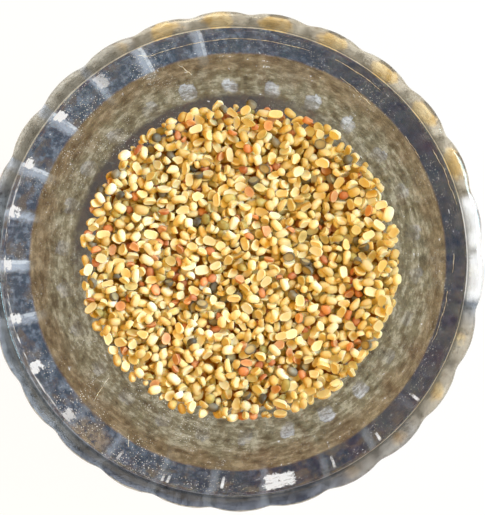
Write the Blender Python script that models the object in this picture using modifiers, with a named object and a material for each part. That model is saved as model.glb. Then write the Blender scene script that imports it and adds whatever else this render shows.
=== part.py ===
"""A dish of dry lentils: a pressed clear glass bowl with a fluted outside, a little under half full of
mixed split pulses. The bowl is one turned solid whose outer wall is pushed out into lobes. The lentils
are one heap: a core that follows the bowl's inside, with grains fused to its top.

Metres, +Z up. The origin is the centre of the foot, on the surface that the dish stands on.
"""

import math
import random

import bmesh
import bpy
from mathutils import Euler, Vector
from mathutils.geometry import delaunay_2d_cdt

MM = 0.001

# The bowl's height, its two walls and its foot
BOWL_HEIGHT = 62.0 * MM
RIM_INNER_RADIUS = 71.2 * MM
RIM_OUTER_RADIUS = 74.4 * MM  # halfway between the top and the bottom of a flute
RIM_ROUNDING = 1.5 * MM  # height of the half-round edge
FLOOR_HEIGHT = 7.0 * MM
FLOOR_RADIUS = 30.0 * MM
INNER_FULLNESS = 1.41  # exponent of the inner wall's curve: 1 is a cone, 2 an ellipse
FOOT_RADIUS = 36.0 * MM
FOOT_HEIGHT = 2.5 * MM
FOOT_CHAMFER = 0.8 * MM
FOOT_RING_WIDTH = 7.0 * MM
OUTER_START_RADIUS = 37.0 * MM
OUTER_FULLNESS = 1.3
RECESS_DEPTH = 1.0 * MM

# The flutes
LOBES = 26
STEPS_PER_LOBE = 4
LOBE_PHASE = math.radians(9.4)  # where one lobe is highest
RIM_FLUTE = 0.55 * MM  # half of the flute's depth at the rim
WALL_FLUTE = 0.85 * MM  # and halfway down the wall
FLUTE_START = 0.27  # share of the height where the flutes run out in rounded ends
FLUTE_FULL = 0.43

# The heap of lentils
LENTIL_LEVEL = 26.0 * MM
WALL_GAP = 0.3 * MM
CORE_DROP = 1.6 * MM  # the core's top lies this far under the level of the grains
CORE_BUMP = 0.9 * MM
CORE_SPACING = 4.6 * MM
CORE_RIM_POINTS = 60
HEAP_SWELL = 0.9 * MM  # how far the middle of the heap rises
GRAIN_LENGTHS = (4.0 * MM, 5.0 * MM)
GRAIN_WIDTH_SHARE = (0.70, 0.82)
GRAIN_THICKNESS = (1.8 * MM, 2.3 * MM)
FLAT_SIDE_SHARE = 0.25  # how much of a split grain's thickness lies on its cut side
GRAIN_RISE = 0.3 * MM  # how far above the core's top the edge of a grain lies
GRAIN_COUNT = 196
GRAIN_SEED = 7
GRAIN_JITTER = 0.9 * MM
TIPPED_SHARE = 0.22  # grains that stand on edge
GOLDEN_ANGLE = math.pi * (3.0 - math.sqrt(5.0))


def clear_scene():
    for obj in list(bpy.data.objects):
        bpy.data.objects.remove(obj, do_unlink=True)


def new_collection(name):
    collection = bpy.data.collections.new(name)
    bpy.context.scene.collection.children.link(collection)
    return collection


def link_object(name, mesh, collection):
    obj = bpy.data.objects.new(name, mesh)
    collection.objects.link(obj)
    return obj


def principled(name, color, roughness, transmission=0.0):
    material = bpy.data.materials.new(name)
    material.use_nodes = True
    shader = material.node_tree.nodes["Principled BSDF"]
    shader.inputs["Base Color"].default_value = (*color, 1.0)
    shader.inputs["Roughness"].default_value = roughness
    shader.inputs["Transmission Weight"].default_value = transmission
    return material


def applied_mesh(obj):
    """The object's mesh with its modifiers applied."""
    graph = bpy.context.evaluated_depsgraph_get()
    return bpy.data.meshes.new_from_object(obj.evaluated_get(graph))


# Bowl

def full_curve(share, fullness):
    """How far out a wall stands, from 0 to 1, at a share of its height: flat at the foot, upright at the rim."""
    return (1.0 - (1.0 - share) ** fullness) ** (1.0 / fullness)


def inner_radius(z):
    top = BOWL_HEIGHT - RIM_ROUNDING
    share = min(max((z - FLOOR_HEIGHT) / (top - FLOOR_HEIGHT), 0.0), 1.0)
    return FLOOR_RADIUS + (RIM_INNER_RADIUS - FLOOR_RADIUS) * full_curve(share, INNER_FULLNESS)


def outer_radius(z):
    top = BOWL_HEIGHT - RIM_ROUNDING
    share = min(max((z - FOOT_HEIGHT) / (top - FOOT_HEIGHT), 0.0), 1.0)
    return OUTER_START_RADIUS + (RIM_OUTER_RADIUS - OUTER_START_RADIUS) * full_curve(share, OUTER_FULLNESS)


def bowl_profile():
    """Points from the middle of the floor up the inside, over the rim, down the outside and under the foot."""
    shoulder = BOWL_HEIGHT - RIM_ROUNDING
    points = [(0.0, FLOOR_HEIGHT)]
    for share in (0.0, 0.05, 0.17, 0.34, 0.54, 0.77, 1.0):
        z = FLOOR_HEIGHT + share * (shoulder - FLOOR_HEIGHT)
        points.append((inner_radius(z), z))
    middle = (RIM_INNER_RADIUS + RIM_OUTER_RADIUS) / 2
    half_width = (RIM_OUTER_RADIUS - RIM_INNER_RADIUS) / 2
    for degrees in (135.0, 90.0, 45.0):
        turn = math.radians(degrees)
        points.append((middle + half_width * math.cos(turn), shoulder + RIM_ROUNDING * math.sin(turn)))
    for share in (1.0, 0.77, 0.54, 0.34, 0.17, 0.06, 0.0):
        z = FOOT_HEIGHT + share * (shoulder - FOOT_HEIGHT)
        points.append((outer_radius(z), z))
    points.append((FOOT_RADIUS, FOOT_CHAMFER))
    points.append((FOOT_RADIUS - FOOT_CHAMFER, 0.0))
    points.append((FOOT_RADIUS - FOOT_RING_WIDTH, 0.0))
    points.append((FOOT_RADIUS - FOOT_RING_WIDTH - FOOT_CHAMFER, RECESS_DEPTH))
    points.append((0.0, RECESS_DEPTH))
    return points


def flute_depth(z):
    """Half of the flutes' depth at a height: none near the foot, deepest halfway, shallower at the rim."""
    share = (z - FOOT_HEIGHT) / (BOWL_HEIGHT - FOOT_HEIGHT)
    rise = min(max((share - FLUTE_START) / (FLUTE_FULL - FLUTE_START), 0.0), 1.0)
    rise = rise * rise * (3.0 - 2.0 * rise)
    fall = min(max((share - FLUTE_FULL) / (1.0 - FLUTE_FULL), 0.0), 1.0)
    return rise * (WALL_FLUTE + (RIM_FLUTE - WALL_FLUTE) * fall)


def push_out_lobes(mesh):
    """Moves the outer wall in and out round the bowl. The inner wall stays round, and the rim turns over between."""
    for vertex in mesh.vertices:
        x, y, z = vertex.co
        radius = math.hypot(x, y)
        if z < FOOT_HEIGHT or radius < FLOOR_RADIUS:
            continue
        wall = outer_radius(z) - inner_radius(z)
        across = min(max((radius - inner_radius(z)) / wall, 0.0), 1.0)
        wave = math.cos(LOBES * (math.atan2(y, x) - LOBE_PHASE))
        pushed = radius + across * across * flute_depth(z) * wave
        vertex.co.x = x * pushed / radius
        vertex.co.y = y * pushed / radius


def make_bowl(parts):
    profile = bpy.data.meshes.new("bowl_profile")
    points = [(radius, 0.0, z) for radius, z in bowl_profile()]
    edges = [(i, i + 1) for i in range(len(points) - 1)]
    profile.from_pydata(points, edges, [])
    guide = link_object("bowl_guide", profile, parts)
    screw = guide.modifiers.new("turn", "SCREW")
    screw.steps = LOBES * STEPS_PER_LOBE
    screw.render_steps = screw.steps
    screw.use_merge_vertices = True
    screw.merge_threshold = 1e-6
    mesh = applied_mesh(guide)
    bpy.data.objects.remove(guide, do_unlink=True)
    push_out_lobes(mesh)
    mesh.shade_smooth()
    mesh.set_sharp_from_angle(angle=math.radians(40.0))
    bowl = link_object("glass_bowl", mesh, parts)
    mesh.materials.clear()
    mesh.materials.append(principled("clear_glass", (0.86, 0.88, 0.88), 0.03, transmission=1.0))
    return bowl


# Lentils

def heap_height(x, y):
    """The level that the grains lie at: almost flat, a little higher in the middle, with slow unevenness."""
    from_middle = math.hypot(x, y) / inner_radius(LENTIL_LEVEL)
    slow = 0.35 * MM * (math.sin(140.0 * x + 1.3) + math.sin(170.0 * y + 60.0 * x))
    return LENTIL_LEVEL + HEAP_SWELL * (1.0 - from_middle**2) + slow


def sunflower(count, radius):
    """Points spread evenly over a disc."""
    for i in range(count):
        reach = radius * math.sqrt((i + 0.5) / count)
        yield reach * math.cos(i * GOLDEN_ANGLE), reach * math.sin(i * GOLDEN_ANGLE)


def core_top(draw):
    """The core's top as triangles: an even spread of points, each at its own height, inside a round edge."""
    top = LENTIL_LEVEL - CORE_DROP
    edge_radius = inner_radius(top) - 2.0 * WALL_GAP
    points = []
    for i in range(CORE_RIM_POINTS):
        turn = 2.0 * math.pi * i / CORE_RIM_POINTS
        points.append((edge_radius * math.cos(turn), edge_radius * math.sin(turn)))
    inside = edge_radius - 0.6 * CORE_SPACING
    count = int(math.pi * inside**2 / CORE_SPACING**2 * 1.1)
    points.extend(sunflower(count, inside))
    flat, _, faces, _, _, _ = delaunay_2d_cdt([Vector(p) for p in points], [], [], 0, 1e-7)
    solid_points = []
    for i, place in enumerate(flat):
        bump = 0.0 if i < CORE_RIM_POINTS else draw.uniform(-CORE_BUMP, CORE_BUMP)
        height = top if i < CORE_RIM_POINTS else heap_height(place.x, place.y) - CORE_DROP + bump
        solid_points.append((place.x, place.y, height))
    return solid_points, faces


def make_core(draw, parts):
    """The core: the bumpy top, drawn down along the bowl's inside in rings and closed by a flat bottom."""
    points, faces = core_top(draw)
    mesh = bpy.data.meshes.new("lentils")
    mesh.from_pydata(points, [], faces)
    shell = bmesh.new()
    shell.from_mesh(mesh)
    loop = [edge for edge in shell.edges if edge.is_boundary]
    top = LENTIL_LEVEL - CORE_DROP
    bottom = FLOOR_HEIGHT + 2.0 * WALL_GAP
    for share in (0.5, 0.17, 0.0):
        z = bottom + share * (top - bottom)
        radius = inner_radius(z - WALL_GAP) - 3.0 * WALL_GAP
        drawn = bmesh.ops.extrude_edge_only(shell, edges=loop)["geom"]
        for vertex in [part for part in drawn if isinstance(part, bmesh.types.BMVert)]:
            outward = Vector((vertex.co.x, vertex.co.y, 0.0)).normalized()
            vertex.co = outward * radius + Vector((0.0, 0.0, z))
        loop = [part for part in drawn if isinstance(part, bmesh.types.BMEdge) and part.is_boundary]
    bmesh.ops.contextual_create(shell, geom=loop)
    bmesh.ops.recalc_face_normals(shell, faces=shell.faces)
    shell.to_mesh(mesh)
    shell.free()
    return link_object("lentils", mesh, parts)


def grain_mesh(name, length, width, thickness):
    """A split pulse with few sides: an oval dome whose lower half is pressed almost flat."""
    grain = bmesh.new()
    bmesh.ops.create_icosphere(grain, subdivisions=1, radius=1.0)
    for vertex in grain.verts:
        share = 1.0 - FLAT_SIDE_SHARE if vertex.co.z > 0.0 else FLAT_SIDE_SHARE
        x, y, z = vertex.co
        vertex.co = Vector((x * length / 2, y * width / 2, z * share * thickness))
    mesh = bpy.data.meshes.new(name)
    grain.to_mesh(mesh)
    grain.free()
    return mesh


def grain_turn(draw):
    """Flat side down, flat side up or on edge, turned any way round."""
    lean = draw.uniform(-0.35, 0.35)
    if draw.random() < TIPPED_SHARE:
        lean = draw.uniform(1.0, 1.5)
    elif draw.random() < 0.5:
        lean += math.pi
    return Euler((lean, draw.uniform(-0.3, 0.3), draw.uniform(0.0, 2.0 * math.pi)), "XYZ")


def make_grains(draw, grains):
    """Loose grains over the whole top, the outermost ones just clear of the glass."""
    reach = inner_radius(LENTIL_LEVEL - CORE_DROP) - GRAIN_LENGTHS[1] / 2 - WALL_GAP
    for i, (x, y) in enumerate(sunflower(GRAIN_COUNT, reach)):
        length = draw.uniform(*GRAIN_LENGTHS)
        width = length * draw.uniform(*GRAIN_WIDTH_SHARE)
        thickness = draw.uniform(*GRAIN_THICKNESS)
        grain = link_object(f"grain_{i}", grain_mesh(f"grain_{i}", length, width, thickness), grains)
        near_wall = math.hypot(x, y) > reach - 2.0 * GRAIN_JITTER
        jitter = 0.0 if near_wall else GRAIN_JITTER
        x += draw.uniform(-jitter, jitter)
        y += draw.uniform(-jitter, jitter)
        grain.location = (x, y, heap_height(x, y) - CORE_DROP + GRAIN_RISE)
        grain.rotation_euler = grain_turn(draw)


def outer_skin(mesh):
    """Keeps the largest skin of the joined heap, so that a hollow sealed between grains is filled."""
    heap = bmesh.new()
    heap.from_mesh(mesh)
    left = set(heap.faces)
    skins = []
    while left:
        skin = set()
        front = [left.pop()]
        while front:
            face = front.pop()
            skin.add(face)
            for edge in face.edges:
                for other in edge.link_faces:
                    if other in left:
                        left.discard(other)
                        front.append(other)
        skins.append(skin)
    largest = max(skins, key=len)
    loose = [face for skin in skins if skin is not largest for face in skin]
    bmesh.ops.delete(heap, geom=loose, context="FACES")
    bmesh.ops.triangulate(heap, faces=heap.faces)
    heap.to_mesh(mesh)
    heap.free()


def make_lentils(parts):
    draw = random.Random(GRAIN_SEED)
    core = make_core(draw, parts)
    grains = new_collection("grains")
    make_grains(draw, grains)
    union = core.modifiers.new("fuse", "BOOLEAN")
    union.operation = "UNION"
    union.solver = "EXACT"
    union.operand_type = "COLLECTION"
    union.collection = grains
    mesh = applied_mesh(core)
    bpy.data.objects.remove(core, do_unlink=True)
    for grain in list(grains.objects):
        bpy.data.objects.remove(grain, do_unlink=True)
    bpy.data.collections.remove(grains)
    outer_skin(mesh)
    mesh.materials.clear()
    mesh.materials.append(principled("dry_lentils", (0.66, 0.40, 0.13), 0.6))
    return link_object("lentils", mesh, parts)


clear_scene()
dish = new_collection("dish_of_dry_lentils")
make_bowl(dish)
make_lentils(dish)
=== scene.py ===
# %% [markdown]
# # A dish of dry lentils
# A pressed clear glass bowl, fluted outside and smooth inside, holds a level layer of mixed split pulses.
# The imported model gives the bowl and the heap as two plain solids. This lesson dresses them: the bowl gets a
# fine mesh of the same form and a glass with painted shade and reflections, and the heap becomes loose split
# grains that are dropped one by one and come to rest on each other.

# %% Load the imported model
import math

import bpy
import numpy as np
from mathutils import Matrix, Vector, noise


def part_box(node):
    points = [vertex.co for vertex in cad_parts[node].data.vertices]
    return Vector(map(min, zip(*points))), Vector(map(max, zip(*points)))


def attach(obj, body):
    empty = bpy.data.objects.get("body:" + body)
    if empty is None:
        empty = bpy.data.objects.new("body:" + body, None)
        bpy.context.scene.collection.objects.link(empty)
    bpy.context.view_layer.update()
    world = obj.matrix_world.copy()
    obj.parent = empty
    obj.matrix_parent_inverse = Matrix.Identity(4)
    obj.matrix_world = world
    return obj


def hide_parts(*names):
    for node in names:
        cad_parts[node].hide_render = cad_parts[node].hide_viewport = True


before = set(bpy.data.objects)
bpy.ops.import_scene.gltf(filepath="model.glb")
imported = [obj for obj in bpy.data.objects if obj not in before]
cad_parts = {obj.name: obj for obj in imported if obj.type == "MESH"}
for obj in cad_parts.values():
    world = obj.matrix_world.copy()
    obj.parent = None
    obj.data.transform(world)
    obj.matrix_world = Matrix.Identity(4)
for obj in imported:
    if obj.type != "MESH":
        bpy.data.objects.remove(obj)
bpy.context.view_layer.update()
MM = 0.001
bowl_low, bowl_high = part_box("glass_bowl")
BOWL_HEIGHT = bowl_high.z
print("bowl", [round(side / MM, 1) for side in bowl_high - bowl_low], "mm")

# %% [markdown]
# ## Helpers for nodes
# A material is a small graph. A few helpers keep the later cells short: they add a node and set its sockets
# by name, and do arithmetic on numbers or other nodes' outputs. Colours are written as they look on a
# screen, from 0 to 255, and turned into linear light.

# %% Node helpers
WHITE = 255.0


def shade(red, green, blue):
    """A screen colour as the linear RGBA that Blender's sockets hold."""
    parts = [part / WHITE for part in (red, green, blue)]
    linear = [part / 12.92 if part <= 0.04045 else ((part + 0.055) / 1.055) ** 2.4 for part in parts]
    return (*linear, 1.0)


def feed(tree, value, socket):
    """Puts a number, a colour or another node's output into a socket."""
    if isinstance(value, bpy.types.NodeSocket):
        tree.links.new(value, socket)
    else:
        socket.default_value = value


def set_sockets(tree, node, **sockets):
    """Feeds a node's inputs. Each keyword names a socket, with _ in the place of a space."""
    for name, value in sockets.items():
        feed(tree, value, node.inputs[name.replace("_", " ")])
    return node


def add_node(tree, kind, **sockets):
    return set_sockets(tree, tree.nodes.new(kind), **sockets)


def calc(tree, operation, *values):
    made = tree.nodes.new("ShaderNodeMath")
    made.operation = operation
    for value, socket in zip(values, made.inputs):
        feed(tree, value, socket)
    return made.outputs["Value"]


print("middle grey", [round(part, 3) for part in shade(128, 128, 128)])

# %% [markdown]
# ## Helpers for patterns
# Patterns come from noises, soft steps between two levels and ramps that turn a number into a colour. They
# start from the point's place on its object, or from a number that the mesh stores for each point.

# %% Pattern helpers
def ramp(tree, share, stops):
    """A colour ramp. Each stop is its place from 0 to 1 and then a screen colour."""
    made = tree.nodes.new("ShaderNodeValToRGB")
    while len(made.color_ramp.elements) < len(stops):
        made.color_ramp.elements.new(1.0)
    for element, (place, *color) in zip(made.color_ramp.elements, stops):
        element.position = place
        element.color = shade(*color)
    feed(tree, share, made.inputs["Fac"])
    return made.outputs["Color"]


def blend(tree, share, first, second):
    """Mixes two colours: the first at 0 and the second at 1."""
    made = tree.nodes.new("ShaderNodeMix")
    made.data_type = "RGBA"
    for value, number in ((share, 0), (first, 6), (second, 7)):
        feed(tree, value, made.inputs[number])
    return made.outputs[2]


def noise_at(tree, place, scale, detail, roughness=0.5):
    """A noise from 0 to 1. Scale is the number of patches in a metre."""
    made = add_node(tree, "ShaderNodeTexNoise", Vector=place, Scale=scale, Detail=detail, Roughness=roughness)
    return made.outputs["Fac"]


def between(tree, value, low, high):
    """A soft step: 0 at low and 1 at high. With high under low it falls."""
    made = add_node(tree, "ShaderNodeMapRange", Value=value, From_Min=low, From_Max=high)
    made.interpolation_type = "SMOOTHSTEP"
    return made.outputs["Result"]


def object_place(tree):
    """Where a point lies on its own object, in metres."""
    return add_node(tree, "ShaderNodeTexCoord").outputs["Object"]


def point_value(tree, name):
    """The number that a mesh stores for each of its points under a name."""
    made = tree.nodes.new("ShaderNodeAttribute")
    made.attribute_name = name
    return made.outputs["Fac"]


print("pattern helpers", [helper.__name__ for helper in (ramp, blend, noise_at, between)])

# %% [markdown]
# ## Helpers for materials
# A material ends in one shader, which may be mixed from several. What many materials share goes into a node
# group: it takes colours and numbers and gives them back, while the shader stays in the material.

# %% Material helpers
def new_material(name):
    material = bpy.data.materials.new(name)
    material.use_nodes = True
    tree = material.node_tree
    return material, tree, tree.nodes["Principled BSDF"]


def mix_shaders(tree, share, first, second):
    """Mixes two shaders: the first at 0 and the second at 1."""
    made = add_node(tree, "ShaderNodeMixShader", Fac=share)
    tree.links.new(first.outputs[0], made.inputs[1])
    tree.links.new(second.outputs[0], made.inputs[2])
    return made


def show_shader(tree, shader, output="Material Output"):
    """Makes a shader the one that a material or the world shows."""
    tree.links.new(shader.outputs[0], tree.nodes[output].inputs["Surface"])


def new_group(name, inputs, outputs):
    """An empty node group. Returns its tree, its inputs' sockets and its output node."""
    group = bpy.data.node_groups.new(name, "ShaderNodeTree")
    for label, kind, value in inputs:
        socket = group.interface.new_socket(label, in_out="INPUT", socket_type=kind)
        if value is not None:
            socket.default_value = value
    for label, kind in outputs:
        group.interface.new_socket(label, in_out="OUTPUT", socket_type=kind)
    return group, group.nodes.new("NodeGroupInput").outputs, group.nodes.new("NodeGroupOutput")


def place_group(tree, group, **sockets):
    """Uses a group in a material, and returns its outputs."""
    made = tree.nodes.new("ShaderNodeGroup")
    made.node_tree = group
    return set_sockets(tree, made, **sockets).outputs


def add_object(name, data):
    """Puts a mesh, a light or a camera into the scene."""
    made = bpy.data.objects.new(name, data)
    bpy.context.scene.collection.objects.link(made)
    return made


print("material helpers", [helper.__name__ for helper in (mix_shaders, new_group, place_group)])

# %% [markdown]
# ## Camera
# The photograph looks almost straight down from about 30 cm above the rim. The rim and the layer of lentils
# are two circles of known size at two heights, so their sizes and centres in the picture fix the camera's
# height, its small tilt and its lens.

# %% Camera
CAMERA_PLACE = (0.0252, -0.0033, 0.3605)
CAMERA_TILT = (math.radians(0.81), math.radians(4.1), 0.0)
LENS = 70.3  # mm
SENSOR = 36.0  # mm

camera_data = bpy.data.cameras.new("camera")
camera_data.lens = LENS
camera_data.sensor_width = SENSOR
camera = add_object("camera", camera_data)
camera.rotation_mode = "YXZ"
camera.location = CAMERA_PLACE
camera.rotation_euler = CAMERA_TILT
bpy.context.scene.camera = camera
print("camera", camera.location[:], "lens", LENS)

# %% [markdown]
# ## Light
# Grains have bright right-hand sides and soft shadows, so the key is a large window-like panel on the right,
# fairly low and slightly blue, as daylight is. A second, narrower panel stands at the top of the picture and
# a weak one overhead opens the shadows. These two are warm, as light that a room throws back is, and so the
# shadows between the grains stay brown and not grey.

# %% Lights
scene = bpy.context.scene
scene.view_settings.view_transform = "Standard"
LENTILS_MIDDLE = (0.0, 0.0, 0.026)


def panel_light(name, place, width, height, watts, color):
    """An oblong lamp that faces the lentils and isn't seen itself."""
    data = bpy.data.lights.new(name, "AREA")
    data.shape = "RECTANGLE"
    data.size = width
    data.size_y = height
    data.energy = watts
    data.color = color[:3]
    light = add_object(name, data)
    light.location = place
    light.rotation_euler = (Vector(LENTILS_MIDDLE) - Vector(place)).to_track_quat("-Z", "Y").to_euler()
    light.visible_camera = False


# name, place, width and height in metres, watts and colour
panel_light("window_right", (0.85, 0.22, 0.62), 0.45, 0.60, 17.4, shade(200, 243, 255))
panel_light("window_top", (-0.20, 0.95, 0.70), 0.30, 0.55, 2.9, shade(255, 240, 205))
panel_light("overhead", (-0.25, -0.30, 1.30), 0.50, 0.50, 1.0, shade(255, 225, 160))

# %% [markdown]
# ## The room around
# Three things look at the surroundings, and each needs its own. The camera sees plain white. The lentils are
# filled with a weak orange light, because light that has bounced from grain to grain is orange. The glass
# mirrors a room that is darker near the horizon and pale overhead, warm on the window's side and cool on the
# other: that gives its edges their lines.

# %% World
WARM_SIDE = math.radians(52.0)
FILL_STRENGTH = 1.14
ROOM_STRENGTH = 0.55
world = bpy.data.worlds.new("soft_room")
scene.world = world
world.use_nodes = True
sky = world.node_tree
sky_direction = add_node(sky, "ShaderNodeTexCoord").outputs["Generated"]
sky_axes = add_node(sky, "ShaderNodeSeparateXYZ", Vector=sky_direction).outputs
sky_height = calc(sky, "MULTIPLY_ADD", sky_axes["Z"], 0.5, 0.5)
sky_warmth = calc(sky, "MULTIPLY", sky_axes["X"], math.cos(WARM_SIDE))
sky_warmth = calc(sky, "MULTIPLY_ADD", sky_axes["Y"], math.sin(WARM_SIDE), sky_warmth)
sky_warmth = calc(sky, "MULTIPLY_ADD", sky_warmth, 0.5, 0.5)
cool_room = ramp(sky, sky_height, [
    (0.00, 150, 150, 150), (0.46, 146, 148, 152), (0.56, 140, 148, 162),
    (0.72, 150, 160, 178), (0.90, 232, 236, 244),
])
warm_room = ramp(sky, sky_height, [
    (0.00, 214, 196, 164), (0.46, 214, 196, 164), (0.56, 226, 206, 168),
    (0.72, 170, 168, 164), (0.90, 236, 238, 242),
])
room_color = blend(sky, sky_warmth, cool_room, warm_room)
room = add_node(sky, "ShaderNodeBackground", Color=room_color, Strength=ROOM_STRENGTH)
white = add_node(sky, "ShaderNodeBackground", Color=shade(255, 255, 255), Strength=1.0)
fill = set_sockets(sky, sky.nodes["Background"], Color=shade(255, 189, 42), Strength=FILL_STRENGTH)
sky_ray = add_node(sky, "ShaderNodeLightPath").outputs
mirrored = calc(sky, "MAXIMUM", sky_ray["Is Glossy Ray"], sky_ray["Is Transmission Ray"])
seen_sky = mix_shaders(sky, mirrored, fill, room)
show_shader(sky, mix_shaders(sky, sky_ray["Is Camera Ray"], seen_sky, white), "World Output")
print("fill", FILL_STRENGTH, "room", ROOM_STRENGTH)

# %% [markdown]
# ## Floor
# The floor is a plain pale board. Seen through the glass it gives light, with a painted pool of light that is
# brightest near the foot, where a glass bowl gathers light under itself. Giving light also keeps noise away.
# Seen directly it is nearly plain white, with only a trace of the bowl's shadow.

# %% Floor
FLOOR_HALF = 3.0  # m
GLOW_START = 0.056  # m from the middle, where the painted pool of light under the bowl begins
GLOW_FULL = 0.046  # m from the middle, where it is full
PLAIN_SHARE = 0.92  # of plain white, in the board that is seen directly
floor_mesh = bpy.data.meshes.new("floor")
corners = [(x * FLOOR_HALF, y * FLOOR_HALF, 0.0) for x, y in ((-1, -1), (1, -1), (1, 1), (-1, 1))]
floor_mesh.from_pydata(corners, [], [(0, 1, 2, 3)])
floor = add_object("floor", floor_mesh)

board, board_tree, board_shader = new_material("pale_board")
board_place = object_place(board_tree)
board_tone = noise_at(board_tree, board_place, 9.0, 4.0)
board_color = ramp(board_tree, board_tone, [(0.3, 248, 247, 245), (0.7, 252, 251, 249)])
set_sockets(board_tree, board_shader, Base_Color=board_color, Roughness=0.8, Specular_IOR_Level=0.2)
from_middle = add_node(board_tree, "ShaderNodeVectorMath", Vector=board_place)
from_middle.operation = "LENGTH"
# painted pool of light: seen through the glass the board is brighter near the foot
painted_pool_share = between(board_tree, from_middle.outputs["Value"], GLOW_START, GLOW_FULL)
glow = calc(board_tree, "MULTIPLY_ADD", painted_pool_share, 0.35, 1.05)
through_glass = add_node(board_tree, "ShaderNodeEmission", Color=shade(246, 246, 246), Strength=glow)
plain = add_node(board_tree, "ShaderNodeEmission", Color=shade(255, 255, 255), Strength=1.0)
board_ray = add_node(board_tree, "ShaderNodeLightPath").outputs
bent = calc(board_tree, "MAXIMUM", board_ray["Is Transmission Ray"], board_ray["Is Glossy Ray"])
seen_directly = calc(board_tree, "MULTIPLY", board_ray["Is Camera Ray"], PLAIN_SHARE)
lit = mix_shaders(board_tree, seen_directly, board_shader, plain)
show_shader(board_tree, mix_shaders(board_tree, bent, lit, through_glass))
floor_mesh.materials.append(board)
print("floor", 2 * FLOOR_HALF, "m")

# %% [markdown]
# ## The bowl's curves
# Pressed glass takes its outside from a mould and its inside from a smooth plunger. So the inner wall is a
# plain turned curve, and only the outer wall has flutes: 26 broad ribs with narrow valleys between them,
# which run out in rounded ends above the foot. The two walls follow the model's curves. The flutes are a
# little deeper than the model's, and the rim stands in over the wall as a bead, as it does on pressed bowls.

# %% Bowl curves
# the model's curves: a radius at each height, and how full the curve between them is (1 would be straight)
RIM_INNER_RADIUS = 71.2 * MM
RIM_OUTER_RADIUS = 74.4 * MM
RIM_ROUNDING = 1.5 * MM
FLOOR_HEIGHT = 7.0 * MM
FLOOR_RADIUS = 30.0 * MM
INNER_FULLNESS = 1.41
FOOT_RADIUS = 36.0 * MM
FOOT_HEIGHT = 2.5 * MM
FOOT_CHAMFER = 0.8 * MM
FOOT_RING_WIDTH = 7.0 * MM
OUTER_START_RADIUS = 37.0 * MM
OUTER_FULLNESS = 1.3
RECESS_DEPTH = 1.0 * MM
LOBES = 26
LOBE_PHASE = math.radians(9.4)
RIM_FLUTE = 0.55 * MM
WALL_FLUTE = 1.25 * MM
FLUTE_START = 0.28  # this and the next are shares of the wall's height over the foot
FLUTE_FULL = 0.38
SHOULDER = BOWL_HEIGHT - RIM_ROUNDING


def full_curve(share, fullness):
    return (1.0 - (1.0 - share) ** fullness) ** (1.0 / fullness)


def inner_radius(z):
    share = np.clip((z - FLOOR_HEIGHT) / (SHOULDER - FLOOR_HEIGHT), 0.0, 1.0)
    return FLOOR_RADIUS + (RIM_INNER_RADIUS - FLOOR_RADIUS) * full_curve(share, INNER_FULLNESS)


def outer_radius(z):
    share = np.clip((z - FOOT_HEIGHT) / (SHOULDER - FOOT_HEIGHT), 0.0, 1.0)
    return OUTER_START_RADIUS + (RIM_OUTER_RADIUS - OUTER_START_RADIUS) * full_curve(share, OUTER_FULLNESS)


def smooth(share):
    share = np.clip(share, 0.0, 1.0)
    return share * share * (3.0 - 2.0 * share)


print("inner radius at the lentils", round(float(inner_radius(0.026)) / MM, 2), "mm")

# %% [markdown]
# ## The bowl's profile
# The profile runs from the middle of the floor up the inside, over the rim and down the outside to the foot.
# It is a list of rings, closest together where the wall bends most. The rim's top is nearly level, with a
# square inner corner and a rounder outer one, as pressing leaves it.

# %% Bowl profile
WALL_RINGS = 40
RIM_RINGS = 18
BEAD_RINGS = 7
FLOOR_RINGS = (0.35, 0.7, 0.93)  # shares of the floor's radius
RING_CROWDING = 1.6  # above 1, rings lie closer low down, where the wall bends most
INNER_CORNER = 0.5  # exponents of the rim's two corners: 1 is round, and less is squarer
OUTER_CORNER = 0.8
RIM_SLOPE = 0.35 * MM  # how much lower the rim's outer edge is
BEAD = 1.3 * MM  # how far the rim's bead stands in over the wall
BEAD_START = 57.2 * MM
BEAD_RISE = 1.6 * MM


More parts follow.
